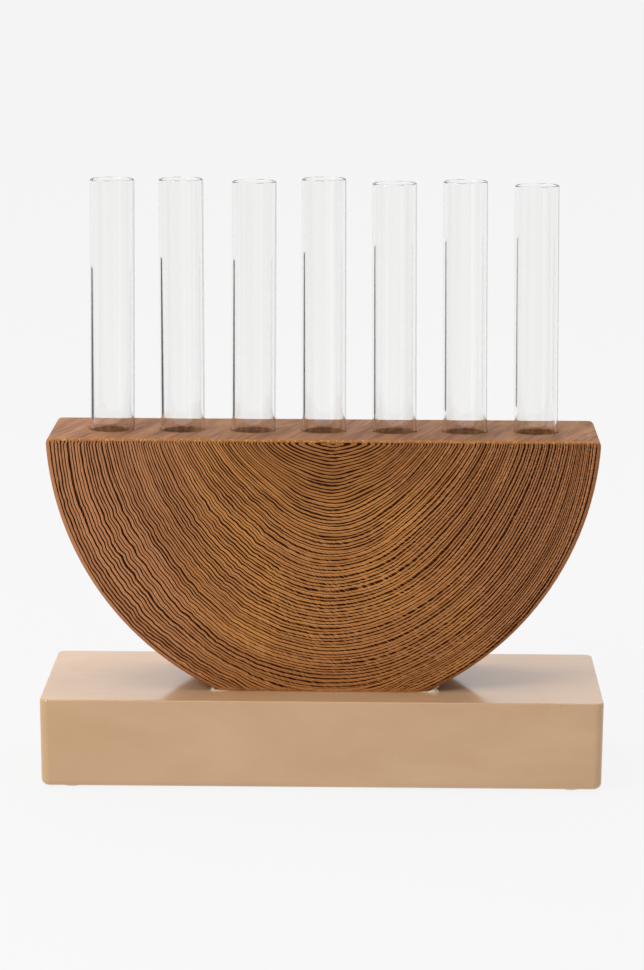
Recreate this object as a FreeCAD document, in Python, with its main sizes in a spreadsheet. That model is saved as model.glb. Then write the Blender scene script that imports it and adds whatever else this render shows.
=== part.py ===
import FreeCAD, Part
import math
import os
import Sketcher

# Test tube vase: seven glass tubes in the bores of a half-round block that stands on a plinth.
# The origin is on the table under the middle of the plinth. X runs along the row of tubes,
# +Y to the back and +Z up. Lengths are millimetres and angles degrees.

doc = FreeCAD.newDocument("TestTubeVase")
sheet = doc.addObject("Spreadsheet::Sheet", "Sizes")

sizes = {
    # Plinth
    "plinthWidth": 252,
    "plinthDepth": 98,
    "plinthHeight": 40,
    "plinthDraft": 0.7,
    "plinthCornerRadius": 4,
    "plinthFootRadius": 3,
    "plinthRimRadius": 0.8,
    # Half-round holder: each side is an arc. Its centre is a little above the top, and its lowest point,
    # which the flat foot cuts off, is a little below the foot.
    "holderWidth": 248,
    "holderHeight": 114.5,
    "holderThickness": 60,
    "sideCentreRise": 6,
    "sideArcDrop": 12.9,
    "holderSideRounding": 3,
    "holderTopRounding": 0.8,
    # Bores for the tubes, the first and last at the end margin from the ends of the holder
    "endMargin": 28,
    "boreDepth": 36.5,
    "boreClearance": 0.5,
    "boreChamfer": 0.5,
    # Glass tubes
    "tubeDiameter": 20,
    "tubeWall": 1.2,
    "tubeLength": 150,
    "tubeLengthSpread": 2.4,
    "tubeFloorGap": 0.3,
    # Glue between holder and plinth
    "glueThickness": 0.4,
    "glueInset": 0.4,
    "leftBeadReach": 2.8,
    "rightBeadReach": 6.4,
    "beadToe": 1.5,
    # Screws through the plinth into the holder
    "screwSpacing": 50,
    "screwLength": 60,
    "screwDiameter": 5,
    "screwTipLength": 4,
    "screwHeadDiameter": 10,
    "screwHeadHeight": 3.2,
    "screwHeadRounding": 1.2,
    "crossWidth": 1.1,
    "crossLength": 5,
    "crossDepth": 1.8,
    "screwFit": 0.05,
    "shankClearance": 0.3,
    "counterboreClearance": 1,
    "counterboreDepth": 4.2,
    "pilotSpare": 3,
    # Felt pads under the plinth
    "padDiameter": 16,
    "padThickness": 1,
    "padInset": 6,
}

for row, (alias, number) in enumerate(sizes.items(), start=1):
    sheet.set(f"A{row}", alias)
    sheet.set(f"B{row}", str(number))
    sheet.setAlias(f"B{row}", alias)
doc.recompute()

# Each tube's lean to the right, in degrees, and how much of the length spread it is short by
tubeLeans = [0.2, -0.3, 0.1, -0.2, -0.4, -0.5, -0.5]
tubeShortShares = [0.25, 0.17, 0.54, 0.0, 0.75, 0.33, 1.0]
tubeCount = len(tubeLeans)

# How close two lengths must be to count as the same when an edge is looked up
near = 0.001

# Sizes that several pieces share, as the expressions that work them out
plinthTop = "Sizes.padThickness + Sizes.plinthHeight"
holderFoot = f"{plinthTop} + Sizes.glueThickness"
halfWidth = "(Sizes.holderWidth / 2)"
sideCentreHeight = "(Sizes.holderHeight + Sizes.sideCentreRise)"
sideRadius = f"({sideCentreHeight} + Sizes.sideArcDrop)"
sideCentreX = f"{halfWidth} - sqrt({sideRadius}^2 - Sizes.sideCentreRise^2)"
tubePitch = f"((Sizes.holderWidth - 2 * Sizes.endMargin) / {tubeCount - 1})"
tubeRadius = "(Sizes.tubeDiameter / 2)"
boreRadius = f"({tubeRadius} + Sizes.boreClearance)"
screwRadius = "(Sizes.screwDiameter / 2)"
screwSeat = "Sizes.padThickness + Sizes.counterboreDepth"
pilotDepth = (
    "(Sizes.screwLength + Sizes.counterboreDepth + Sizes.pilotSpare"
    " - Sizes.plinthHeight - Sizes.glueThickness)"
)


def size(alias):
    """One driving size, read from the sheet."""
    return float(sheet.get(alias))


def newBody(label):
    body = doc.addObject("PartDesign::Body", label)
    body.Label = label
    return body


def originPlane(body, role):
    return next(f for f in body.Origin.OriginFeatures if f.Role == role)


def newSketch(body, name, role="XZ_Plane"):
    sketch = body.newObject("Sketcher::SketchObject", name)
    sketch.AttachmentSupport = [(originPlane(body, role), "")]
    sketch.MapMode = "FlatFace"
    return sketch


def constrain(sketch, kind, *where, expression=None, name=None):
    """Adds one constraint, and binds its value to an expression where it has one."""
    number = sketch.addConstraint(Sketcher.Constraint(kind, *where))
    if expression:
        sketch.renameConstraint(number, name)
        sketch.setExpression(f"Constraints.{name}", expression)


def place(body, x=None, y=None, z=None):
    """Binds the place of a body to expressions; an axis with none stays at zero."""
    for axis, expression in (("x", x), ("y", y), ("z", z)):
        if expression:
            body.setExpression(f"Placement.Base.{axis}", expression)


def edgesWhere(feature, test):
    """The names of the edges of a feature that pass a test."""
    edges = feature.Shape.Edges
    return [f"Edge{i}" for i, edge in enumerate(edges, start=1) if test(edge)]


def bind(feature, **expressions):
    for name, expression in expressions.items():
        feature.setExpression(name, expression)


def joinEnds(sketch, *pairs):
    """Each pair is (curve, end, curve, end), where end 1 is a curve's start and 2 its end."""
    for pair in pairs:
        constrain(sketch, "Coincident", *pair)


def arc(centreX, centreY, radius, start, end):
    """An arc drawn anticlockwise from one angle to the other, in radians."""
    circle = Part.Circle(FreeCAD.Vector(centreX, centreY), FreeCAD.Vector(0, 0, 1), radius)
    return Part.ArcOfCircle(circle, start, end)


def arcBetween(centre, start, end):
    """An arc drawn anticlockwise about a centre from one point to another, each an (x, y)."""
    turns = [math.atan2(y - centre[1], x - centre[0]) for x, y in (start, end)]
    return arc(*centre, math.dist(centre, start), *turns)


def line(x1, y1, x2, y2):
    return Part.LineSegment(FreeCAD.Vector(x1, y1), FreeCAD.Vector(x2, y2))


def rectangle(sketch, width, depth, widthExpression, depthExpression):
    """A rectangle centred on the sketch's origin."""
    right, back = width / 2, depth / 2
    sketch.addGeometry(line(-right, -back, right, -back))
    sketch.addGeometry(line(right, -back, right, back))
    sketch.addGeometry(line(right, back, -right, back))
    sketch.addGeometry(line(-right, back, -right, -back))
    joinEnds(sketch, (0, 2, 1, 1), (1, 2, 2, 1), (2, 2, 3, 1), (3, 2, 0, 1))
    constrain(sketch, "Horizontal", 0)
    constrain(sketch, "Vertical", 1)
    constrain(sketch, "Horizontal", 2)
    constrain(sketch, "Vertical", 3)
    constrain(sketch, "Symmetric", 0, 1, 2, 1, -1, 1)
    constrain(sketch, "DistanceX", 0, 1, 0, 2, width, expression=widthExpression, name="width")
    constrain(sketch, "DistanceY", 1, 1, 1, 2, depth, expression=depthExpression, name="depth")


def circleOnRow(sketch, x, radius, xExpression, radiusExpression, name):
    """A circle on the sketch's horizontal axis."""
    centre = FreeCAD.Vector(x, 0)
    circle = sketch.addGeometry(Part.Circle(centre, FreeCAD.Vector(0, 0, 1), radius))
    constrain(sketch, "PointOnObject", circle, 3, -1)
    constrain(sketch, "DistanceX", -1, 1, circle, 3, x, expression=xExpression, name=f"{name}X")
    constrain(sketch, "Radius", circle, radius, expression=radiusExpression, name=f"{name}Radius")


def screwHoles(body, name, across, clearance, depthExpression):
    """A pair of holes cut upwards from the underside of a body, one for each screw."""
    sketch = newSketch(body, f"{name}Sketch", "XY_Plane")
    half = size("screwSpacing") / 2
    radius = size(across) / 2 + size(clearance)
    radiusExpression = f"Sizes.{across} / 2 + Sizes.{clearance}"
    circleOnRow(sketch, half, radius, "Sizes.screwSpacing / 2", radiusExpression, "right")
    circleOnRow(sketch, -half, radius, "-Sizes.screwSpacing / 2", radiusExpression, "left")
    pocket = body.newObject("PartDesign::Pocket", name)
    pocket.Profile = sketch
    pocket.Reversed = True
    bind(pocket, Length=depthExpression)
    doc.recompute()


def rounded(body, name, test, radiusExpression):
    """Rounds those edges of a body that pass a test."""
    base = body.Tip
    fillet = body.newObject("PartDesign::Fillet", name)
    fillet.Base = (base, edgesWhere(base, test))
    bind(fillet, Radius=radiusExpression)
    doc.recompute()


def liesAt(edge, height):
    box = edge.BoundBox
    return abs(box.ZMin - height) < near and abs(box.ZMax - height) < near


def isCircle(edge, radius):
    return edge.Curve.TypeId == "Part::GeomCircle" and abs(edge.Curve.Radius - radius) < near


# Plinth: one block, a little narrower at the foot, with soft corners and a rounded foot
def makePlinth():
    body = newBody("plinth")
    sketch = newSketch(body, "PlinthTop", "XY_Plane")
    sketch.setExpression("AttachmentOffset.Base.z", "Sizes.plinthHeight")
    width, depth = size("plinthWidth"), size("plinthDepth")
    rectangle(sketch, width, depth, "Sizes.plinthWidth", "Sizes.plinthDepth")
    pad = body.newObject("PartDesign::Pad", "PlinthBlock")
    pad.Profile = sketch
    pad.Reversed = True
    bind(pad, Length="Sizes.plinthHeight", TaperAngle="-Sizes.plinthDraft")
    doc.recompute()
    height = size("plinthHeight")
    rounded(body, "PlinthCorners", lambda e: e.BoundBox.ZLength > height / 2, "Sizes.plinthCornerRadius")
    rounded(body, "PlinthFoot", lambda e: liesAt(e, 0), "Sizes.plinthFootRadius")
    rounded(body, "PlinthRim", lambda e: liesAt(e, height), "Sizes.plinthRimRadius")
    screwHoles(body, "Counterbores", "screwHeadDiameter", "counterboreClearance", "Sizes.counterboreDepth")
    screwHoles(body, "ShankHoles", "screwDiameter", "shankClearance", "Sizes.plinthHeight")
    place(body, z="Sizes.padThickness")
    return body


# Holder: flat top and foot, a side arc at each end, blind bores down from the top
def sideArc():
    """The right side arc, as (centre x, centre height, radius, x of its foot)."""
    rise = size("sideCentreRise")
    centreY = size("holderHeight") + rise
    radius = centreY + size("sideArcDrop")
    centreX = size("holderWidth") / 2 - math.sqrt(radius**2 - rise**2)
    return centreX, centreY, radius, centreX + math.sqrt(radius**2 - centreY**2)


def makeHolder():
    body = newBody("holder")
    sketch = newSketch(body, "HolderFace")
    width, height = size("holderWidth"), size("holderHeight")
    right = width / 2
    centreX, centreY, radius, foot = sideArc()
    sketch.addGeometry(line(-right, height, right, height))
    sketch.addGeometry(arcBetween((centreX, centreY), (foot, 0), (right, height)))
    sketch.addGeometry(line(foot, 0, -foot, 0))
    sketch.addGeometry(arcBetween((-centreX, centreY), (-right, height), (-foot, 0)))
    joinEnds(sketch, (0, 2, 1, 2), (1, 1, 2, 1), (2, 2, 3, 2), (3, 1, 0, 1))
    constrain(sketch, "Symmetric", 0, 1, 0, 2, -2)
    constrain(sketch, "PointOnObject", 2, 1, -1)
    constrain(sketch, "PointOnObject", 2, 2, -1)
    constrain(sketch, "Horizontal", 1, 3, 3, 3)
    constrain(sketch, "Equal", 1, 3)
    constrain(sketch, "Radius", 1, radius, expression=sideRadius, name="radius")
    constrain(sketch, "DistanceX", 0, 1, 0, 2, width, expression="Sizes.holderWidth", name="width")
    constrain(sketch, "DistanceY", -1, 1, 0, 1, height, expression="Sizes.holderHeight", name="height")
    constrain(sketch, "DistanceY", -1, 1, 1, 3, centreY, expression=sideCentreHeight, name="centreHeight")
    pad = body.newObject("PartDesign::Pad", "HolderBlock")
    pad.Profile = sketch
    pad.SideType = "Symmetric"
    bind(pad, Length="Sizes.holderThickness")
    doc.recompute()
    rounded(body, "HolderSides", lambda e: isCircle(e, radius), "Sizes.holderSideRounding")
    rounded(body, "HolderTop", lambda e: liesAt(e, height), "Sizes.holderTopRounding")
    cutBores(body)
    screwHoles(body, "PilotHoles", "screwDiameter", "screwFit", pilotDepth)
    place(body, z=holderFoot)
    return body


def cutBores(body):
    """One bore at the left end, repeated along the row, with a small chamfer at each mouth."""
    sketch = newSketch(body, "BoreMouth", "XY_Plane")
    sketch.setExpression("AttachmentOffset.Base.z", "Sizes.holderHeight")
    firstX = size("endMargin") - size("holderWidth") / 2
    radius = size("tubeDiameter") / 2 + size("boreClearance")
    circleOnRow(sketch, firstX, radius, f"Sizes.endMargin - {halfWidth}", boreRadius, "bore")
    bore = body.newObject("PartDesign::Pocket", "Bore")
    bore.Profile = sketch
    bind(bore, Length="Sizes.boreDepth")
    doc.recompute()
    row = body.newObject("PartDesign::LinearPattern", "BoreRow")
    row.Originals = [bore]
    row.Direction = (originPlane(body, "X_Axis"), [""])
    row.Mode = "Spacing"
    row.Occurrences = tubeCount
    bind(row, Offset=tubePitch)
    body.Tip = row
    doc.recompute()
    top = size("holderHeight")
    chamfer = body.newObject("PartDesign::Chamfer", "BoreChamfers")
    chamfer.Base = (row, edgesWhere(row, lambda e: isCircle(e, radius) and liesAt(e, top)))
    bind(chamfer, Size="Sizes.boreChamfer")
    doc.recompute()


# Glue: a thin bed under the holder, squeezed out into a bead under each side arc
def makeGlue():
    body = newBody("glue_bed")
    sketch = newSketch(body, "GlueSection")
    thickness = size("glueThickness")
    centreX, centreY, radius, foot = sideArc()
    centreY += thickness
    leftToe, rightToe = foot + size("leftBeadReach"), foot + size("rightBeadReach")
    beads = []
    for toe in (leftToe, rightToe):
        x = toe - size("beadToe")
        beads.append((x, centreY - math.sqrt(radius**2 - (x - centreX) ** 2)))
    (leftX, leftY), rightBead = beads
    sketch.addGeometry(line(-leftToe, 0, rightToe, 0))
    sketch.addGeometry(line(rightToe, 0, *rightBead))
    sketch.addGeometry(arcBetween((centreX, centreY), (foot, thickness), rightBead))
    sketch.addGeometry(line(foot, thickness, -foot, thickness))
    sketch.addGeometry(arcBetween((-centreX, centreY), (-leftX, leftY), (-foot, thickness)))
    sketch.addGeometry(line(-leftX, leftY, -leftToe, 0))
    joinEnds(sketch, (0, 2, 1, 1), (1, 2, 2, 2), (2, 1, 3, 1), (3, 2, 4, 2), (4, 1, 5, 1), (5, 2, 0, 1))
    constrain(sketch, "PointOnObject", 0, 1, -1)
    constrain(sketch, "Horizontal", 0)
    constrain(sketch, "Horizontal", 3)
    constrain(sketch, "Symmetric", 2, 3, 4, 3, -2)
    constrain(sketch, "Equal", 2, 4)
    constrain(sketch, "Radius", 2, radius, expression=sideRadius, name="radius")
    constrain(sketch, "DistanceX", -1, 1, 2, 3, centreX, expression=sideCentreX, name="centreX")
    centreExpression = f"Sizes.glueThickness + {sideCentreHeight}"
    constrain(sketch, "DistanceY", -1, 1, 2, 3, centreY, expression=centreExpression, name="centreHeight")
    constrain(sketch, "DistanceY", -1, 1, 3, 1, thickness, expression="Sizes.glueThickness", name="bed")
    for name, corner, toe, bead, reach in (
        ("right", (3, 1), (0, 2), (1, 2), "rightBeadReach"),
        ("left", (3, 2), (0, 1), (5, 1), "leftBeadReach"),
    ):
        outward = (*corner, *toe) if name == "right" else (*toe, *corner)
        inward = (*bead, *toe) if name == "right" else (*toe, *bead)
        constrain(
            sketch, "DistanceX", *outward, size(reach), expression=f"Sizes.{reach}", name=f"{name}Reach"
        )
        constrain(
            sketch, "DistanceX", *inward, size("beadToe"), expression="Sizes.beadToe", name=f"{name}Toe"
        )
    pad = body.newObject("PartDesign::Pad", "GlueBed")
    pad.Profile = sketch
    pad.SideType = "Symmetric"
    bind(pad, Length="Sizes.holderThickness - 2 * Sizes.glueInset")
    doc.recompute()
    screwHoles(body, "ScrewHoles", "screwDiameter", "shankClearance", "Sizes.glueThickness")
    place(body, z=plinthTop)
    return body


# Screw: flanged pan head below, cross recess, plain shank that stands for the thread, cone tip
def makeScrew(label, side):
    body = newBody(label)
    sketch = newSketch(body, f"{label}_section")
    headRadius, shankRadius = size("screwHeadDiameter") / 2, size("screwDiameter") / 2
    headHeight, rounding = size("screwHeadHeight"), size("screwHeadRounding")
    length, shoulder = size("screwLength"), size("screwLength") - size("screwTipLength")
    sketch.addGeometry(line(0, -headHeight, headRadius - rounding, -headHeight))
    sketch.addGeometry(arc(headRadius - rounding, rounding - headHeight, rounding, -math.pi / 2, 0))
    sketch.addGeometry(line(headRadius, rounding - headHeight, headRadius, 0))
    sketch.addGeometry(line(headRadius, 0, shankRadius, 0))
    sketch.addGeometry(line(shankRadius, 0, shankRadius, shoulder))
    sketch.addGeometry(line(shankRadius, shoulder, 0, length))
    sketch.addGeometry(line(0, length, 0, -headHeight))
    joinEnds(sketch, (2, 2, 3, 1), (3, 2, 4, 1), (4, 2, 5, 1), (5, 2, 6, 1), (6, 2, 0, 1))
    constrain(sketch, "Tangent", 0, 2, 1, 1)
    constrain(sketch, "Tangent", 1, 2, 2, 1)
    constrain(sketch, "Horizontal", 0)
    constrain(sketch, "Vertical", 2)
    constrain(sketch, "Vertical", 4)
    constrain(sketch, "PointOnObject", 3, 1, -1)
    constrain(sketch, "PointOnObject", 3, 2, -1)
    constrain(sketch, "PointOnObject", 6, 1, -2)
    constrain(sketch, "PointOnObject", 6, 2, -2)
    constrain(
        sketch, "DistanceX", -1, 1, 3, 1, headRadius, expression="Sizes.screwHeadDiameter / 2", name="head"
    )
    constrain(sketch, "DistanceX", -1, 1, 3, 2, shankRadius, expression=screwRadius, name="shank")
    constrain(
        sketch, "DistanceY", 6, 2, -1, 1, headHeight, expression="Sizes.screwHeadHeight", name="headHeight"
    )
    constrain(sketch, "Radius", 1, rounding, expression="Sizes.screwHeadRounding", name="rounding")
    constrain(sketch, "DistanceY", -1, 1, 6, 1, length, expression="Sizes.screwLength", name="length")
    constrain(
        sketch, "DistanceY", 4, 2, 6, 1, length - shoulder, expression="Sizes.screwTipLength", name="tip"
    )
    turned = body.newObject("PartDesign::Revolution", f"{label}_turned")
    turned.Profile = sketch
    turned.ReferenceAxis = (sketch, ["V_Axis"])
    doc.recompute()
    slot = newSketch(body, f"{label}_slot", "XY_Plane")
    slot.setExpression("AttachmentOffset.Base.z", "-Sizes.screwHeadHeight")
    rectangle(slot, size("crossLength"), size("crossWidth"), "Sizes.crossLength", "Sizes.crossWidth")
    cut = body.newObject("PartDesign::Pocket", f"{label}_cross")
    cut.Profile = slot
    cut.Reversed = True
    bind(cut, Length="Sizes.crossDepth")
    doc.recompute()
    cross = body.newObject("PartDesign::PolarPattern", f"{label}_cross_pattern")
    cross.Originals = [cut]
    cross.Axis = (originPlane(body, "Z_Axis"), [""])
    cross.Mode = "Spacing"
    cross.Occurrences = 2
    cross.Offset = 90
    body.Tip = cross
    doc.recompute()
    place(body, x=f"{side} * Sizes.screwSpacing / 2", z=screwSeat)
    return body


# Test tube: round floor, straight wall, rim melted round. Its own origin is under its floor.
def makeTube(label, place_number, lean, shortShare):
    body = newBody(label)
    sketch = newSketch(body, f"{label}_section")
    radius, wall = size("tubeDiameter") / 2, size("tubeWall")
    length = size("tubeLength") - shortShare * size("tubeLengthSpread")
    rimY = length - wall / 2
    sketch.addGeometry(arc(0, radius, radius, -math.pi / 2, 0))
    sketch.addGeometry(line(radius, radius, radius, rimY))
    sketch.addGeometry(arc(radius - wall / 2, rimY, wall / 2, 0, math.pi))
    sketch.addGeometry(line(radius - wall, rimY, radius - wall, radius))
    sketch.addGeometry(arc(0, radius, radius - wall, -math.pi / 2, 0))
    sketch.addGeometry(line(0, wall, 0, 0))
    for first, second in ((0, 1), (1, 2), (2, 3)):
        constrain(sketch, "Tangent", first, 2, second, 1)
    constrain(sketch, "Tangent", 3, 2, 4, 2)
    joinEnds(sketch, (4, 1, 5, 1), (5, 2, 0, 1), (0, 3, 4, 3))
    constrain(sketch, "Vertical", 1)
    constrain(sketch, "Vertical", 3)
    constrain(sketch, "Coincident", 0, 1, -1, 1)
    constrain(sketch, "PointOnObject", 0, 3, -2)
    constrain(sketch, "PointOnObject", 4, 1, -2)
    constrain(sketch, "Radius", 0, radius, expression=tubeRadius, name="radius")
    constrain(sketch, "Radius", 2, wall / 2, expression="Sizes.tubeWall / 2", name="rim")
    rimExpression = f"Sizes.tubeLength - {shortShare} * Sizes.tubeLengthSpread - Sizes.tubeWall / 2"
    constrain(sketch, "DistanceY", -1, 1, 2, 3, rimY, expression=rimExpression, name="rimHeight")
    glass = body.newObject("PartDesign::Revolution", f"{label}_glass")
    glass.Profile = sketch
    glass.ReferenceAxis = (sketch, ["V_Axis"])
    doc.recompute()
    standInBore(body, place_number, lean)
    return body


def standInBore(body, number, lean):
    """Leans a tube about the point on its bore's axis halfway down the bore."""
    step = number - (tubeCount - 1) / 2
    body.Placement = FreeCAD.Placement(FreeCAD.Vector(), FreeCAD.Rotation(FreeCAD.Vector(0, 1, 0), lean))
    grip = "(Sizes.boreDepth / 2 - Sizes.tubeFloorGap)"
    floor = f"{holderFoot} + Sizes.holderHeight - Sizes.boreDepth"
    place(
        body,
        x=f"{step} * {tubePitch} - {grip} * sin({lean} deg)",
        z=f"{floor} + Sizes.boreDepth / 2 - {grip} * cos({lean} deg)",
    )


# Felt pad under one corner of the plinth
def makePad(label, side, end):
    pad = doc.addObject("Part::Cylinder", label)
    pad.Label = label
    bind(pad, Radius="Sizes.padDiameter / 2", Height="Sizes.padThickness")
    inset = "Sizes.padInset - Sizes.padDiameter / 2"
    place(
        pad,
        x=f"{side} * (Sizes.plinthWidth / 2 - {inset})",
        y=f"{end} * (Sizes.plinthDepth / 2 - {inset})",
    )
    return pad


pieces = [makePlinth(), makeHolder(), makeGlue()]
pieces += [makeScrew("screw_left", -1), makeScrew("screw_right", 1)]
for number in range(tubeCount):
    pieces.append(makeTube(f"tube_{number + 1}", number, tubeLeans[number], tubeShortShares[number]))
for endName, end in (("front", -1), ("back", 1)):
    for sideName, side in (("left", -1), ("right", 1)):
        pieces.append(makePad(f"pad_{endName}_{sideName}", side, end))
doc.recompute()

faulty = [o.Label for o in doc.Objects if {"Invalid", "Error"} & set(o.State)]
faulty += [p.Label for p in pieces if p.Shape.isNull() or not p.Shape.isValid()]
if faulty:
    raise RuntimeError(f"These objects did not build: {', '.join(faulty)}")

os.makedirs("parts", exist_ok=True)
for piece in pieces:
    piece.Shape.exportStep(f"parts/{piece.Label}.step")
    print(piece.Label, len(piece.Shape.Solids), "solid,", round(piece.Shape.Volume), "cubic mm")
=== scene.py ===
import itertools
import math

import bmesh
import bpy
from mathutils import Matrix, Vector, noise


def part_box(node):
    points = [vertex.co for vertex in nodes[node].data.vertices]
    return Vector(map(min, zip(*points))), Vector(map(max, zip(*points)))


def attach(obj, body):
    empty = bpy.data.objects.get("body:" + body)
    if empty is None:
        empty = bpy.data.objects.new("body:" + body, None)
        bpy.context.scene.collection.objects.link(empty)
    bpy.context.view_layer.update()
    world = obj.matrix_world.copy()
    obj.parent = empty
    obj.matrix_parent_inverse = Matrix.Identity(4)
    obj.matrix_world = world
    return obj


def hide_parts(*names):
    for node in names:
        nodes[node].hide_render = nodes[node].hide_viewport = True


# Test tube vase: glass tubes in a half-round wood-finish holder, on a gloss plinth.
# Metres, x along the row of tubes, y to the back and z up. The photo looks along +y.

mm = 0.001
touching = 1e-5  # a corner nearer than this to a plane lies in it
same = 1e-6  # corners nearer than this are one
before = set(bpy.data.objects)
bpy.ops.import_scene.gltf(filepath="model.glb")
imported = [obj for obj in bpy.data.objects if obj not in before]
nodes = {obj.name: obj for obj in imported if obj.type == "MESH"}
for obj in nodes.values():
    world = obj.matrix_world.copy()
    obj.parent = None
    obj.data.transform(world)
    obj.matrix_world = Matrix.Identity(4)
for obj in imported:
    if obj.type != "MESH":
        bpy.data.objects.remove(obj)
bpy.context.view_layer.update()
print("vase: frame loaded")

# The view of the photo. The focal length is in pixels of the 644 x 970 picture.
view = {
    "place": (24.45 * mm, -1570.9 * mm, 416.54 * mm),
    "turn": 0.01612,
    "down": 0.1802,
    "roll": 0.00414,
    "focalPixels": 3513,
    "pictureWidth": 644,
    "sensor": 36,
    "farthest": 100,
}


def placeCamera():
    lens = bpy.data.cameras.new("camera")
    lens.sensor_fit = "HORIZONTAL"
    lens.sensor_width = view["sensor"]
    lens.lens = view["sensor"] * view["focalPixels"] / view["pictureWidth"]
    lens.clip_end = view["farthest"]
    camera = bpy.data.objects.new("camera", lens)
    turn = Matrix.Rotation(view["turn"], 4, "Z")
    tilt = Matrix.Rotation(math.pi / 2 - view["down"], 4, "X")
    roll = Matrix.Rotation(view["roll"], 4, "Z")
    camera.matrix_world = Matrix.Translation(view["place"]) @ turn @ tilt @ roll
    bpy.context.scene.collection.objects.link(camera)
    bpy.context.scene.camera = camera


placeCamera()


# Short ways to write shader nodes: the helpers give back the socket that comes out
def newMaterial(name):
    material = bpy.data.materials.new(name)
    material.use_nodes = True
    material.node_tree.nodes.clear()
    return material


def put(tree, kind, inputs=(), **settings):
    # gives back the node itself
    made = tree.nodes.new(kind)
    for name, value in settings.items():
        setattr(made, name, value)
    for socket, value in dict(inputs).items():
        if isinstance(value, bpy.types.NodeSocket):
            tree.links.new(value, made.inputs[socket])
        elif value is not None:
            made.inputs[socket].default_value = value
    return made


def maths(tree, operation, first, second=None, third=None):
    given = {0: first, 1: second, 2: third}
    return put(tree, "ShaderNodeMath", given, operation=operation).outputs[0]


def times(tree, first, second):
    return maths(tree, "MULTIPLY", first, second)


def minus(tree, first, second):
    return maths(tree, "SUBTRACT", first, second)


def unsigned(tree, value):
    return maths(tree, "ABSOLUTE", value)


def between(tree, value, low, high, toLow=0.0, toHigh=1.0):
    # smooth step from low to high
    given = {"Value": value, "From Min": low, "From Max": high, "To Min": toLow, "To Max": toHigh}
    return put(tree, "ShaderNodeMapRange", given, interpolation_type="SMOOTHSTEP").outputs[0]


def flatPlace(tree, x, y):
    return put(tree, "ShaderNodeCombineXYZ", {0: x, 1: y}).outputs[0]


def scaled(tree, place, scale, turn=(0, 0, 0)):
    given = {"Vector": place, "Rotation": turn, "Scale": scale}
    return put(tree, "ShaderNodeMapping", given).outputs[0]


def noisy(tree, place, scale, detail, roughness=0.5, distortion=0.0):
    given = {"Vector": place, "Scale": scale, "Detail": detail}
    given |= {"Roughness": roughness, "Distortion": distortion}
    return put(tree, "ShaderNodeTexNoise", given).outputs["Fac"]


def stretched(tree, place, scale, detail, roughness=0.5, distortion=0.0):
    # noise with a scale of its own along each axis
    return noisy(tree, scaled(tree, place, scale), 1.0, detail, roughness, distortion)


def blend(tree, amount, first, second):
    given = {0: amount, 6: first, 7: second}
    return put(tree, "ShaderNodeMix", given, data_type="RGBA", blend_type="MIX").outputs[2]


def objectPlace(tree):
    return put(tree, "ShaderNodeTexCoord").outputs["Object"]


def bumped(tree, height, distance, strength):
    given = {"Height": height, "Distance": distance, "Strength": strength}
    return put(tree, "ShaderNodeBump", given).outputs[0]


def finish(tree, **inputs):
    named = {name.replace("_", " "): value for name, value in inputs.items()}
    shader = put(tree, "ShaderNodeBsdfPrincipled", named)
    put(tree, "ShaderNodeOutputMaterial", {"Surface": shader.outputs[0]})


def rgb(red, green, blue):
    # a colour as a picture program shows it, 0 to 255, to the shader's linear light
    def straight(part):
        part /= 255
        return part / 12.92 if part <= 0.04045 else ((part + 0.055) / 1.055) ** 2.4

    return (straight(red), straight(green), straight(blue), 1)


def grey(tone):
    return (tone, tone, tone, 1)


def newPiece(name, bm, material, body, replaces):
    mesh = bpy.data.meshes.new(name)
    bm.to_mesh(mesh)
    bm.free()
    mesh.materials.append(material)
    piece = bpy.data.objects.new(name, mesh)
    bpy.context.scene.collection.objects.link(piece)
    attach(piece, body)
    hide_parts(replaces)
    return piece


def creaseEdges(bm, angle):
    # edges bent by more than this angle stay sharp
    for edge in bm.edges:
        edge.smooth = len(edge.link_faces) != 2 or edge.calc_face_angle() < angle


# Holder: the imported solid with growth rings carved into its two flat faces
holder = {
    "ringCount": 83,
    "heart": (4.4 * mm, 154.2 * mm),
    # ring number, then how far it reaches to the side, along the diagonal and down, in mm
    "ringReaches": (
        (0, 0, 0, 0),
        (1.2, 8.2, 2.3, 1.8),
        (2.4, 13.8, 4.6, 3.6),
        (3.5, 18.3, 6.8, 5.4),
        (4.7, 21.1, 9, 7.2),
        (7, 26.5, 13, 10.8),
        (11.7, 33.8, 20.5, 18),
        (32.8, 62, 48.8, 51),
        (51.5, 83.5, 75.5, 80),
        (68, 104, 98.5, 104.4),
        (83, 125, 121.5, 127.8),
    ),
    "outerRings": 68,  # from here on the rings turn to follow the outline
    "lastRow": 0.5,  # in rings, the last row of corners inside the outline
    "footBulge": 7.9 * mm,  # how far the last rings would hang below the foot
    "topInset": 3 * mm,
    "grooveDepth": 0.31 * mm,
    "grooveHalfWidth": 0.27,  # in rings
    "grooveFade": 1.6 * mm,  # grooves run out towards the outline
    "hook": 1.3 * mm,  # rings turn inwards this much above the heart
    "hookHeight": 2 * mm,
    "rimRing": 1.45 * mm,  # a ring's width on the rounded edges
    "rimStep": {"arc": 2.02 * mm, "top": 14 * mm, "foot": 6.5 * mm},
    "straightEdge": 50 * mm,  # an edge that reaches further along x is the top or the foot
    "sharpAngle": 0.6,
    "hair": 0.02 * mm,
    "endRadius": 2.55 * mm,
}


def smooth(low, high, value):
    share = min(1, max(0, (value - low) / (high - low)))
    return share * share * (3 - 2 * share)


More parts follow.
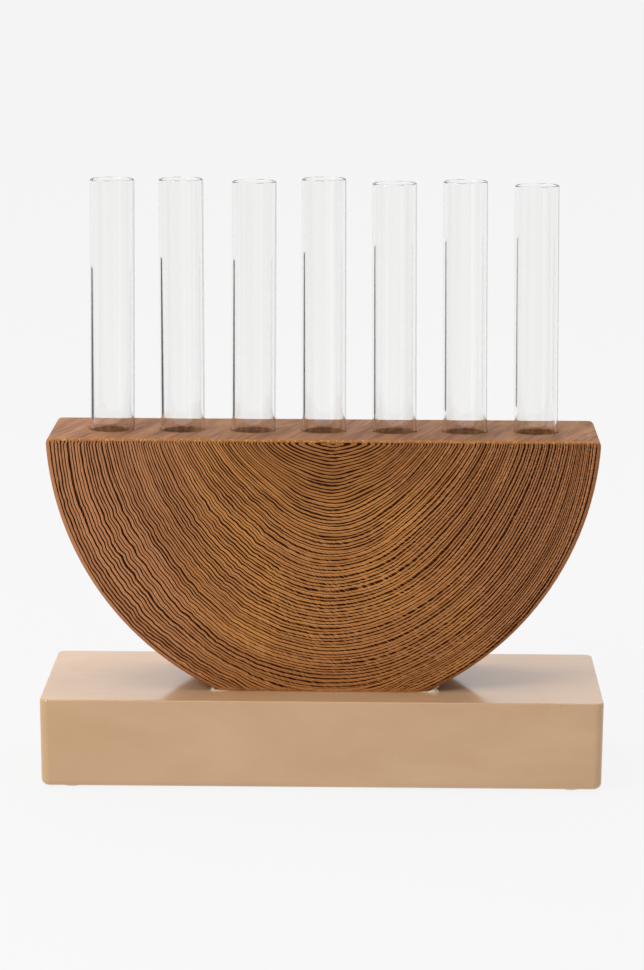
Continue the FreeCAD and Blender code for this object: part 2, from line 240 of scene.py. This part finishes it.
def ringShapes():
    # side reach, down reach and diagonal flattening for every whole ring, from the table's few
    table = holder["ringReaches"]
    shapes = []
    for ring in range(holder["ringCount"] + 2):
        last = next((i for i, row in enumerate(table) if row[0] >= max(ring, 1)), len(table) - 1)
        before, after = table[last - 1], table[last]
        share = (ring - before[0]) / (after[0] - before[0])
        reaches = [(a + (b - a) * share) * mm for a, b in zip(before[1:], after[1:])]
        side, diagonal, down = reaches
        flat = 1 / diagonal**2 - 0.5 / side**2 - 0.5 / down**2 if ring else 0
        shapes.append((side, down, flat * side * down))
    return shapes


def ringReach(shapes, ring, angle, rim):
    # distance of a ring from the heart, at an angle below level, towards a rim that far away
    ring = min(max(ring, 0), holder["ringCount"] + 0.99)
    whole = int(ring)
    part = ring - whole
    side, down, flat = (a + (b - a) * part for a, b in zip(shapes[whole], shapes[whole + 1]))
    if side <= 0:
        return 0
    level = abs(math.cos(angle))
    steep = math.sin(angle)
    if steep < 0:
        lift = side * -steep / holder["hookHeight"]
        reach = (side - holder["hook"] * min(1, lift) ** 2) / max(level, 0.05)
    else:
        square = (level / side) ** 2 + (steep / down) ** 2
        square += flat / (side * down) * math.sqrt(8) * level**2 * steep
        reach = 1 / math.sqrt(square)
    turn = smooth(holder["outerRings"], holder["ringCount"], ring)
    return reach + (rim * ring / (holder["ringCount"] - holder["lastRow"]) - reach) * turn


def ringWave(ring, angle):
    # how far, in rings, a ring strays at an angle: broad waves, kinks low on the left, small jitter
    along = angle * ring * 1.7
    fromLow, toLow, fromHigh, toHigh = (math.radians(turn) for turn in (95, 130, 160, 176))
    left = smooth(fromLow, toLow, angle) * (1 - smooth(fromHigh, toHigh, angle))
    inner = smooth(6, 40, ring)
    wave = 0.6 * noise.noise(Vector((angle * 2.2, ring * 0.07, 1.3)))
    kink = (angle - 2.3) * (6 + ring * 0.17)
    wave += (0.1 + 0.42 * left) * noise.noise(Vector((kink, ring * 0.045, 7.7))) * inner
    wave += (0.06 + 0.2 * left) * noise.noise(Vector((kink * 2.3, ring * 0.12, 4.2))) * inner
    wave += 0.1 * noise.noise(Vector((along / 5, ring * 0.9, 3.1)))
    wave += 0.45 * noise.noise(Vector((angle * 0.8, ring * 0.77, 9.2)))
    return wave * smooth(1, 14, ring)


def ringRows():
    # rows of corners, in rings: a lip, the bottom and the other lip of each groove,
    # so that rows 2, 5, 8 and so on are bottoms
    half = holder["grooveHalfWidth"]
    rows = [0.0]
    for ring in range(1, holder["ringCount"]):
        rows += [ring - half, ring, ring + half]
    rows.append(holder["ringCount"] - holder["lastRow"])
    return rows


def fromHeart(x, z):
    # angle, from level on the right and down, and distance
    x, z = x - holder["heart"][0], z - holder["heart"][1]
    return math.atan2(-z, x), math.hypot(x, z)


def sortedRim(bm, level):
    # splits the edges round an opened face, and gives their corners in order round the heart
    low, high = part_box("holder")

    def onRim(edge):
        return edge.is_boundary and all(abs(v.co.y - level) < touching for v in edge.verts)

    for edge in [e for e in bm.edges if onRim(e)]:
        heights = [v.co.z for v in edge.verts]
        across = abs(edge.verts[0].co.x - edge.verts[1].co.x) > holder["straightEdge"]
        kind = "arc" if not across else "foot" if max(heights) < (low.z + high.z) / 2 else "top"
        cuts = round(edge.calc_length() / holder["rimStep"][kind]) - 1
        if cuts > 0:
            bmesh.ops.subdivide_edges(bm, edges=[edge], cuts=cuts)
    corners = {v for e in bm.edges if onRim(e) for v in e.verts}
    return sorted(corners, key=lambda v: -fromHeart(v.co.x, v.co.z)[0])


def ringColumn(corner, box, feet, topZ, shapes, rows):
    # where every row lies on the straight way from the heart to one corner of the rim
    low, high = box
    heart = holder["heart"]
    x, z = corner.co.x - heart[0], corner.co.z - heart[1]
    angle, reach = fromHeart(corner.co.x, corner.co.z)
    outer = reach
    if corner.co.z < low.z + touching:
        share = (angle - feet[0][0]) / (feet[-1][0] - feet[0][0])
        outer = feet[0][1] + (feet[-1][1] - feet[0][1]) * share
        outer += holder["footBulge"] * 4 * share * (1 - share)
    elif corner.co.z > topZ - touching:
        outer = high.x - heart[0] * (1 if x > 0 else -1) - holder["topInset"]
    belowLevel = math.atan2(-z, abs(x))
    rising = [ringReach(shapes, ring + ringWave(ring, angle), belowLevel, outer) for ring in rows]
    # a row never folds back over the one before it
    rising = list(itertools.accumulate(rising, lambda last, here: max(here, last + holder["hair"])))
    end = next((i for i, r in enumerate(rising) if r >= reach - touching), len(rows) - 1)
    return rows[end], Vector((x, 0, z)) / reach, reach, rising, angle


def numberEdges(bm, side, rim, topZ, rings):
    # the rounded edges of the solid carry the ring numbers of the face on
    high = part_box("holder")[1]
    around = [(v.co.x, v.co.z, v[rings]) for v in rim]
    for vert in bm.verts:
        if vert.co.y * side > high.y * 0.5 and abs(vert.co.y - high.y * side) > touching:
            x, z, ring = min(around, key=lambda r: abs(r[0] - vert.co.x) + abs(r[1] - vert.co.z))
            beyond = fromHeart(vert.co.x, vert.co.z)[1] - fromHeart(x, z)[1]
            vert[rings] = ring if z > topZ - touching else ring + beyond / holder["rimRing"]


def carveFace(bm, side, shapes, rings):
    # opens one flat face, side -1 in front or 1 behind, and closes it with a ringed one
    low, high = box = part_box("holder")
    level = high.y * side
    heart = holder["heart"]
    flat = [f for f in bm.faces if all(abs(v.co.y - level) < touching for v in f.verts)]
    bmesh.ops.delete(bm, geom=flat, context="FACES")
    rim = sortedRim(bm, level)
    topZ = max(v.co.z for v in rim)
    foot = [v for v in rim if v.co.z < low.z + touching]
    feet = sorted(fromHeart(v.co.x, v.co.z) for v in foot)
    rows = ringRows()
    columns = [ringColumn(corner, box, feet, topZ, shapes, rows) for corner in rim]
    for corner, column in zip(rim, columns):
        corner[rings] = column[0]
    numberEdges(bm, side, rim, topZ, rings)
    lastRow = len(rows) - 1
    grid = bmesh.ops.create_grid(bm, x_segments=lastRow, y_segments=len(rim), size=1)["verts"]
    for vert in grid:
        row = round((vert.co.x + 1) / 2 * lastRow)
        column = round((vert.co.y + 1) / 2 * len(rim)) % len(rim)
        last, direction, reach, rising, angle = columns[column]
        there = min(rising[row], reach) if row < lastRow else reach
        inside = there < reach - touching
        there = there if inside else reach
        vert[rings] = rows[row] if inside else last
        depth = 0
        if inside and row % 3 == 2:
            depth = holder["grooveDepth"] * smooth(0, holder["grooveFade"], reach - there)
            depth *= 0.75 + 0.5 * noise.noise(Vector((rows[row] * 1.31, angle * 4, 0.4)))
        vert.co = Vector((heart[0], level - side * depth, heart[1])) + direction * there
    bmesh.ops.remove_doubles(bm, verts=grid + rim, dist=2 * same)


def roundEnds(bm):
    # wears the two upper ends of the block rounder than its other edges
    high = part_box("holder")[1]
    radius = holder["endRadius"]
    middle = Vector((high.x - radius, high.z - radius))
    across, up = (1, 0, 0), (0, 0, 1)
    planes = (((middle.x, 0, 0), across), ((-middle.x, 0, 0), across), ((0, 0, middle.y), up))
    for place, direction in planes:
        everything = bm.verts[:] + bm.edges[:] + bm.faces[:]
        bmesh.ops.bisect_plane(bm, geom=everything, plane_co=place, plane_no=direction, dist=same)
    for vert in bm.verts:
        away = Vector((abs(vert.co.x), vert.co.z)) - middle
        if min(away) > 0 and away.length > radius:
            away = middle + away.normalized() * radius
            vert.co.x = math.copysign(away.x, vert.co.x)
            vert.co.z = away.y


def makeHolder(material):
    bm = bmesh.new()
    bm.from_mesh(nodes["holder"].data)
    bmesh.ops.remove_doubles(bm, verts=bm.verts, dist=same)
    roundEnds(bm)
    # corners closer than a hair are one, and those as close to a flat face lie in it
    bmesh.ops.remove_doubles(bm, verts=bm.verts, dist=holder["hair"])
    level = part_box("holder")[1].y
    for vert in bm.verts:
        if abs(abs(vert.co.y) - level) < holder["hair"] * 0.8:
            vert.co.y = math.copysign(level, vert.co.y)
    creaseEdges(bm, holder["sharpAngle"])
    rings = bm.verts.layers.float.new("rings")
    shapes = ringShapes()
    for side in (-1, 1):
        carveFace(bm, side, shapes, rings)
    # the strips beside the cut edges have many corners in line: whole triangles keep them closed
    strips = [f for f in bm.faces if len(f.verts) > 4]
    bmesh.ops.triangulate(bm, faces=strips, quad_method="BEAUTY", ngon_method="BEAUTY")
    bmesh.ops.recalc_face_normals(bm, faces=bm.faces)
    for face in bm.faces:
        face.smooth = True
        face.material_index = 0
    return newPiece("holder_carved", bm, material, "stand", "holder")


# Wood finish: pairs of numbers are where something starts and where it is whole
wood = {
    "line": rgb(40, 14, 3),
    "lineHalfWidth": (0.13, 0.28),  # in rings, thinnest and widest
    "lineEdge": (0.06, -0.03),
    "wideRight": (0.02, 0.08),  # lines widen a little to the right, from here to there
    "widerBy": 0.035,
    "linesTop": (155.2 * mm, 154.9 * mm),
    "linesFoot": (42 * mm, 43.4 * mm),
    "linesPastRim": (0.8, 0.5),  # in rings
    "beads": (0.5, 0.62),
    "beadsLow": (19, 40),  # ring numbers
    "landMiddle": rgb(153, 92, 33),
    "landSides": rgb(141, 81, 48),
    "landGrain": rgb(174, 111, 58),
    "landGold": rgb(184, 120, 46),
    # painted sheen on the left of the face
    "paintedLeftSheen": rgb(192, 136, 100),
    "landBands": rgb(120, 70, 36),
    "landInner": rgb(112, 66, 34),
    # painted highlight along both lips of every groove
    "lipHighlight": rgb(214, 160, 112),
    # a lighter golden dotted band along the top edge of the face
    "edgeBand": (rgb(160, 102, 50), rgb(204, 150, 92)),
    "edgeBandDots": (1100, 500, 500),
    "edgeBandHeights": (154.8 * mm, 155.3 * mm),
    "plain": (rgb(134, 88, 54), rgb(172, 122, 84)),
    "streak": rgb(98, 58, 36),
    "slant": (0, 0, -1.27),
    "figureScale": (16, 140, 30),
    "streakScale": (28, 340, 60),
    # paler colour in the bores: painted light on walls that the deep bores keep in shade
    "bore": (rgb(196, 130, 92), rgb(230, 170, 128)),
    "boreFloor": (117 * mm, 118 * mm),
    "boreTop": (155.85 * mm, 155.7 * mm),
    "boreSide": (112 * mm, 110 * mm),
    "faceDepth": (28 * mm, 28.8 * mm),
    "roughness": (0.5, 0.8),  # of the land and of the lines
    "specular": 0.05,
}


def ringLines(tree, x, height, ring, turn, beads):
    # dark lines along the grooves. Every ring has its own weight, which changes slowly along it.
    index = maths(tree, "ROUND", ring)
    off = unsigned(tree, minus(tree, ring, index))
    ownPlace = flatPlace(tree, times(tree, turn, 1.6), times(tree, index, 3.7))
    own = noisy(tree, ownPlace, 1.0, 1)
    halfWidth = between(tree, own, 0.3, 0.7, *wood["lineHalfWidth"])
    wider = between(tree, x, *wood["wideRight"], 0.0, wood["widerBy"])
    halfWidth = maths(tree, "ADD", halfWidth, wider)
    line = between(tree, minus(tree, off, halfWidth), *wood["lineEdge"])

    # light specks all but close a line low in the middle
    middle = between(tree, unsigned(tree, minus(tree, turn, 1.5)), 0.9, 0.2)
    low = between(tree, ring, *wood["beadsLow"])
    beadShare = maths(tree, "MULTIPLY_ADD", times(tree, middle, low), 0.55, 0.2)
    line = times(tree, line, minus(tree, 1.0, times(tree, beads, beadShare)))
    line = times(tree, line, between(tree, height, *wood["linesTop"]))
    line = times(tree, line, between(tree, height, *wood["linesFoot"]))
    rim = [holder["ringCount"] + past for past in wood["linesPastRim"]]
    return times(tree, line, between(tree, ring, *rim))


def ringLand(tree, x, place, ring, turn, beads):
    # between the lines: golden in the middle, redder to the sides, with fine grain along the rings, a
    # painted highlight along the lips of the grooves and a painted sheen on the left
    along = times(tree, turn, ring)
    off = unsigned(tree, minus(tree, ring, maths(tree, "ROUND", ring)))
    grain = noisy(tree, flatPlace(tree, times(tree, along, 0.35), times(tree, ring, 3.0)), 1.4, 4, 0.6)
    broad = noisy(tree, place, 26, 3)
    sideways = between(tree, unsigned(tree, x), 0.02, 0.11)
    warmth = maths(tree, "ADD", times(tree, sideways, 0.8), times(tree, broad, 0.4))
    land = blend(tree, between(tree, warmth, 0.15, 1.0), wood["landMiddle"], wood["landSides"])
    land = blend(tree, between(tree, grain, 0.35, 0.7, 0.0, 0.7), land, wood["landGrain"])
    central = between(tree, sideways, 0.8, 0.1, 0.0, 0.7)
    gold = times(tree, between(tree, broad, 0.42, 0.62), central)
    land = blend(tree, gold, land, wood["landGold"])
    # painted highlight: a lighter band along both lips of each groove
    lipHighlight = times(tree, between(tree, off, 0.16, 0.28), between(tree, off, 0.46, 0.32))
    lipHighlight = times(tree, lipHighlight, maths(tree, "MULTIPLY_ADD", beads, 0.5, 0.35))
    land = blend(tree, lipHighlight, land, wood["lipHighlight"])
    # painted sheen: the land lighter towards the left
    land = blend(tree, between(tree, x, -0.03, -0.1, 0.0, 0.3), land, wood["paintedLeftSheen"])
    bands = noisy(tree, flatPlace(tree, times(tree, turn, 0.9), times(tree, ring, 0.33)), 1.0, 2)
    land = blend(tree, between(tree, bands, 0.42, 0.66, 0.0, 0.3), land, wood["landBands"])
    return blend(tree, between(tree, ring, 28, 9, 0.0, 0.4), land, wood["landInner"])


def plainWood(tree, place, axes):
    # top and sides: plain brown with faint slanting figure, and in the bores a paler brown that is
    # painted light on their shaded walls
    slanted = scaled(tree, place, (1, 1, 1), wood["slant"])
    figure = stretched(tree, slanted, wood["figureScale"], 5, 0.62, 1.2)
    plain = blend(tree, between(tree, figure, 0.3, 0.7), *wood["plain"])
    streaks = stretched(tree, slanted, wood["streakScale"], 3, 0.5, 0.8)
    streaks = times(tree, between(tree, streaks, 0.48, 0.62), 0.5)
    plain = blend(tree, streaks, plain, wood["streak"])
    # painted light: the bore walls coloured paler than the wood
    bore = between(tree, axes[2], *wood["boreFloor"])
    bore = times(tree, bore, between(tree, axes[2], *wood["boreTop"]))
    bore = times(tree, bore, between(tree, unsigned(tree, axes[0]), *wood["boreSide"]))
    boreWood = blend(tree, between(tree, noisy(tree, place, 330, 3), 0.35, 0.65), *wood["bore"])
    return blend(tree, bore, plain, boreWood)


def woodFinish():
    material = newMaterial("woodFinish")
    tree = material.node_tree
    place = objectPlace(tree)
    axes = put(tree, "ShaderNodeSeparateXYZ", {0: place}).outputs
    ring = put(tree, "ShaderNodeAttribute", attribute_name="rings").outputs["Fac"]
    x = minus(tree, axes[0], holder["heart"][0])
    turn = maths(tree, "ARCTAN2", minus(tree, holder["heart"][1], axes[2]), x)
    lengthwise, crosswise = times(tree, turn, ring), times(tree, maths(tree, "ROUND", ring), 5.3)
    beads = noisy(tree, flatPlace(tree, lengthwise, crosswise), 2.1, 1, 0.5)
    beads = between(tree, beads, *wood["beads"])
    line = ringLines(tree, x, axes[2], ring, turn, beads)
    face = blend(tree, line, ringLand(tree, x, place, ring, turn, beads), wood["line"])

    # golden dots along the top edge of the face
    dots = between(tree, stretched(tree, place, wood["edgeBandDots"], 1), 0.5, 0.66)
    edgeBand = blend(tree, dots, *wood["edgeBand"])
    face = blend(tree, between(tree, axes[2], *wood["edgeBandHeights"], 0.0, 0.8), face, edgeBand)

    onFace = between(tree, unsigned(tree, axes[1]), *wood["faceDepth"])
    colour = blend(tree, onFace, plainWood(tree, place, axes), face)
    roughness = blend(tree, times(tree, line, onFace), *[grey(share) for share in wood["roughness"]])
    normal = bumped(tree, stretched(tree, place, (900, 900, 900), 2), 0.05 * mm, 0.5)
    surface = {"Base_Color": colour, "Roughness": roughness, "Normal": normal}
    finish(tree, **surface, Specular_IOR_Level=wood["specular"])
    return material


makeHolder(woodFinish())
print("vase: holder carved")


# Glue: a thin bed, squeezed out into a lumpy bead at each end of the holder's foot
glue = {
    "foot": 47.97 * mm,  # from the middle to where the beads start
    "thickness": 0.4 * mm,
    "reachLeft": 2.8 * mm,
    "reachRight": 5.4 * mm,
    "cuts": (70, 48),
    "lumps": 0.35,
    "lumpLength": 4 * mm,
    "opening": (0.47, 3),  # how the gap under the holder opens: slope, and curve per metre
    "clearance": 0.04 * mm,
    "crown": 0.4,  # height of a bead, as a share of its reach
    "crownLumps": 0.35,
    "crownLength": (2.2 * mm, 2 * mm),
    "lowest": 0.05 * mm,
    "wander": 0.004,
    "wanderLength": 5 * mm,
    "sharpAngle": 1.0,
    "pale": rgb(244, 230, 208),
    "amber": rgb(214, 186, 152),
}


def makeGlue(material):
    low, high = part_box("glue_bed")
    bm = bmesh.new()
    bmesh.ops.create_cube(bm, size=1)
    for axis, cuts in enumerate(glue["cuts"]):
        along = [e for e in bm.edges if abs(e.verts[0].co[axis] - e.verts[1].co[axis]) > 0.5]
        bmesh.ops.subdivide_edges(bm, edges=along, cuts=cuts, use_grid_fill=True)
    foot = glue["foot"]
    slope, curve = glue["opening"]
    alongY, alongX = glue["crownLength"]
    for vert in bm.verts:
        share = vert.co.x * 2  # -1 to 1
        upper = vert.co.z > 0
        side = 1 if share > 0 else -1
        y = vert.co.y * (high.y - low.y)
        reach = glue["reachRight"] if side > 0 else glue["reachLeft"]
        lump = noise.noise(Vector((y / glue["lumpLength"], side * 3, 0.7)))
        wide = reach * (1 - glue["lumps"] * (0.5 + 0.9 * lump))
        # half of the columns go to the bead
        far = abs(share)
        x = far / 0.5 * foot if far < 0.5 else foot + (far - 0.5) / 0.5 * wide
        beyond = max(0, x - foot)
        wedge = glue["thickness"] + beyond * slope + beyond * beyond * curve
        crown = wide * glue["crown"] * max(0, 1 - (beyond / wide) ** 2)
        crown *= 1 + glue["crownLumps"] * noise.noise(Vector((y / alongY, x / alongX, side)))
        height = glue["thickness"]
        if beyond > 0:
            height = min(wedge - glue["clearance"], max(crown, glue["lowest"]))
        y *= 1 - glue["wander"] * (1 + noise.noise(Vector((x / glue["wanderLength"], side, 5))))
        vert.co = Vector((side * x, y, low.z + (height if upper else 0)))
    bmesh.ops.recalc_face_normals(bm, faces=bm.faces)
    for face in bm.faces:
        face.smooth = True
    creaseEdges(bm, glue["sharpAngle"])
    return newPiece("glue_lumps", bm, material, "stand", "glue_bed")


def glueFinish():
    material = newMaterial("curedGlue")
    tree = material.node_tree
    place = objectPlace(tree)
    cloudy = between(tree, noisy(tree, place, 260, 3), 0.35, 0.7)
    colour = blend(tree, cloudy, glue["pale"], glue["amber"])
    normal = bumped(tree, noisy(tree, place, 700, 2), 0.15 * mm, 0.6)
    surface = {"Base_Color": colour, "Roughness": 0.4, "Normal": normal}
    finish(tree, **surface, Subsurface_Weight=0.1, Subsurface_Scale=2 * mm)
    return material


makeGlue(glueFinish())
print("vase: glue laid")


# Plinth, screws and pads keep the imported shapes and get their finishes
lacquer = {
    "clouds": (rgb(194, 157, 119), rgb(202, 166, 130)),
    "mottle": rgb(188, 148, 110),
    "specks": rgb(140, 100, 70),
    "smear": (0.09, 0.15),  # least and most roughness
    "coat": {"Specular_IOR_Level": 0.38, "Coat_Weight": 0.1, "Coat_Roughness": 0.06},
}

zinc = {
    "patches": (rgb(196, 196, 198), rgb(172, 172, 176)),
    "roughness": (0.28, 0.45),
}

felt = {
    "fibres": (rgb(88, 66, 50), rgb(120, 94, 74)),
    "tufts": rgb(74, 54, 40),
    "sheen": 0.4,
}


def dress(names, material):
    for name in names:
        for slot in nodes[name].material_slots:
            slot.material = material


def plinthLacquer():
    material = newMaterial("tanLacquer")
    tree = material.node_tree
    place = objectPlace(tree)
    clouds = stretched(tree, place, (9, 14, 22), 4, 0.55, 0.6)
    colour = blend(tree, between(tree, clouds, 0.3, 0.7), *lacquer["clouds"])
    mottle = between(tree, stretched(tree, place, (38, 60, 60), 3), 0.4, 0.75)
    colour = blend(tree, times(tree, mottle, 0.35), colour, lacquer["mottle"])
    specks = between(tree, noisy(tree, place, 500, 1), 0.78, 0.82)
    colour = blend(tree, times(tree, specks, 0.25), colour, lacquer["specks"])
    normal = bumped(tree, stretched(tree, place, (45, 45, 45), 2), 0.12 * mm, 0.5)
    smear = between(tree, stretched(tree, place, (16, 30, 30), 3), 0.3, 0.7, *lacquer["smear"])
    finish(tree, Base_Color=colour, Roughness=smear, Normal=normal, **lacquer["coat"])
    return material


def zincSteel():
    material = newMaterial("zincSteel")
    tree = material.node_tree
    place = objectPlace(tree)
    patches = noisy(tree, place, 900, 3)
    colour = blend(tree, between(tree, patches, 0.35, 0.65), *zinc["patches"])
    roughness = between(tree, patches, 0.3, 0.7, *zinc["roughness"])
    normal = bumped(tree, stretched(tree, place, (300, 300, 6000), 2), 0.02 * mm, 0.5)
    finish(tree, Base_Color=colour, Metallic=1.0, Roughness=roughness, Normal=normal)
    return material


def brownFelt():
    material = newMaterial("brownFelt")
    tree = material.node_tree
    place = objectPlace(tree)
    fibres = stretched(tree, place, (2600, 2600, 5200), 4, 0.7, 1.5)
    colour = blend(tree, between(tree, fibres, 0.3, 0.7), *felt["fibres"])
    tufts = between(tree, noisy(tree, place, 420, 3), 0.4, 0.7)
    colour = blend(tree, times(tree, tufts, 0.4), colour, felt["tufts"])
    normal = bumped(tree, fibres, 0.12 * mm, 0.9)
    finish(tree, Base_Color=colour, Roughness=0.95, Normal=normal, Sheen_Weight=felt["sheen"])
    return material


dress(["plinth"], plinthLacquer())
dress(["screw_left", "screw_right"], zincSteel())
dress(["pad_front_left", "pad_front_right", "pad_back_left", "pad_back_right"], brownFelt())
print("vase: plinth, screws and pads finished")


# Glass tubes, with a faint difference of tint from where the glass was drawn
glass = {
    "tints": ((0.955, 0.955, 0.95, 1), (0.985, 0.984, 0.98, 1)),
    "drawn": (330, 330, 3),
    "bending": 1.47,
    "count": 7,
}


def tubeGlass():
    material = newMaterial("tubeGlass")
    tree = material.node_tree
    drawn = stretched(tree, objectPlace(tree), glass["drawn"], 2)
    tint = blend(tree, between(tree, drawn, 0.3, 0.7), *glass["tints"])
    finish(tree, Base_Color=tint, Roughness=0.0, IOR=glass["bending"], Transmission_Weight=1.0)
    return material


dress([f"tube_{number}" for number in range(1, glass["count"] + 1)], tubeGlass())
print("vase: tubes glazed")


# Studio: a pale floor under soft light
studio = {
    "floorSize": 60,
    "floorTone": 0.05,
    "floorGlow": 0.87,
    "skyFront": 0.34,
    "skyBack": 1.05,
    "lamps": (
        # name, place, size, power, aimed at
        ("overhead", (-0.3, 0.1, 1.7), 2.2, 17, (0, 0, 0.1)),
        ("keyLeft", (-0.75, -0.75, 0.7), 0.5, 7.5, (-0.12, 0, 0.1)),
    ),
    # The camera sees none of the cards. The dark one shows through glass, and gloss mirrors the strips.
    "cards": (
        # name, place, width, share of the width at the top, height, glow, how it is seen
        ("darkCard", (-0.654, 0.689, 0.052), 0.56, 0.5, 0.148, 0.0, "through"),
        ("nearStrip", (0.62, -0.75, 0.5), 0.3, 1, 1.4, 1.8, "mirrored"),
        ("farStrip", (0.3, -1.1, 0.5), 0.1, 1, 1.4, 1.6, "mirrored"),
    ),
}


def stageGlow(name, bm, tone, glow):
    mesh = bpy.data.meshes.new(name)
    bm.to_mesh(mesh)
    bm.free()
    material = newMaterial(name)
    given = {"Base_Color": grey(tone), "Roughness": 0.9, "Specular_IOR_Level": 0.0}
    finish(material.node_tree, Emission_Color=grey(1), Emission_Strength=glow, **given)
    mesh.materials.append(material)
    made = bpy.data.objects.new(name, mesh)
    bpy.context.scene.collection.objects.link(made)
    return made


def makeFloor():
    bm = bmesh.new()
    bmesh.ops.create_grid(bm, x_segments=8, y_segments=8, size=studio["floorSize"] / 2)
    stageGlow("floor", bm, studio["floorTone"], studio["floorGlow"])


def makeCards():
    for name, place, width, narrow, height, glow, seen in studio["cards"]:
        bm = bmesh.new()
        bmesh.ops.create_grid(bm, x_segments=1, y_segments=1, size=0.5)
        top = [v for v in bm.verts if v.co.y > 0]
        bmesh.ops.scale(bm, verts=top, vec=(narrow, 1, 1))
        bmesh.ops.scale(bm, verts=bm.verts, vec=(width, height, 1))
        turn = Vector((place[0], place[1], 0)).to_track_quat("Z", "Y").to_matrix().to_4x4()
        bmesh.ops.transform(bm, verts=bm.verts, matrix=Matrix.Translation(place) @ turn)
        card = stageGlow(name, bm, 0.0, glow)
        card.visible_camera = False
        card.visible_diffuse = False
        card.visible_shadow = False
        card.visible_volume_scatter = False
        card.visible_glossy = seen == "mirrored"
        card.visible_transmission = seen == "through"


def makeLight():
    world = bpy.data.worlds.new("studio")
    world.use_nodes = True
    bpy.context.scene.world = world
    tree = world.node_tree
    sky = tree.nodes["Background"]
    sky.inputs["Color"].default_value = grey(1)
    around = put(tree, "ShaderNodeTexCoord").outputs["Generated"]
    way = put(tree, "ShaderNodeSeparateXYZ", {0: around}).outputs[1]
    strength = between(tree, way, -0.5, 0.5, studio["skyFront"], studio["skyBack"])
    tree.links.new(strength, sky.inputs["Strength"])
    for name, place, size, power, target in studio["lamps"]:
        lamp = bpy.data.lights.new(name, "AREA")
        lamp.shape = "DISK"
        lamp.size = size
        lamp.energy = power
        lampObject = bpy.data.objects.new(name, lamp)
        aim = (Vector(target) - Vector(place)).to_track_quat("-Z", "Y")
        lampObject.matrix_world = Matrix.Translation(place) @ aim.to_matrix().to_4x4()
        bpy.context.scene.collection.objects.link(lampObject)
    bpy.context.scene.view_settings.view_transform = "Standard"


makeFloor()
makeCards()
makeLight()
print("vase: studio set")
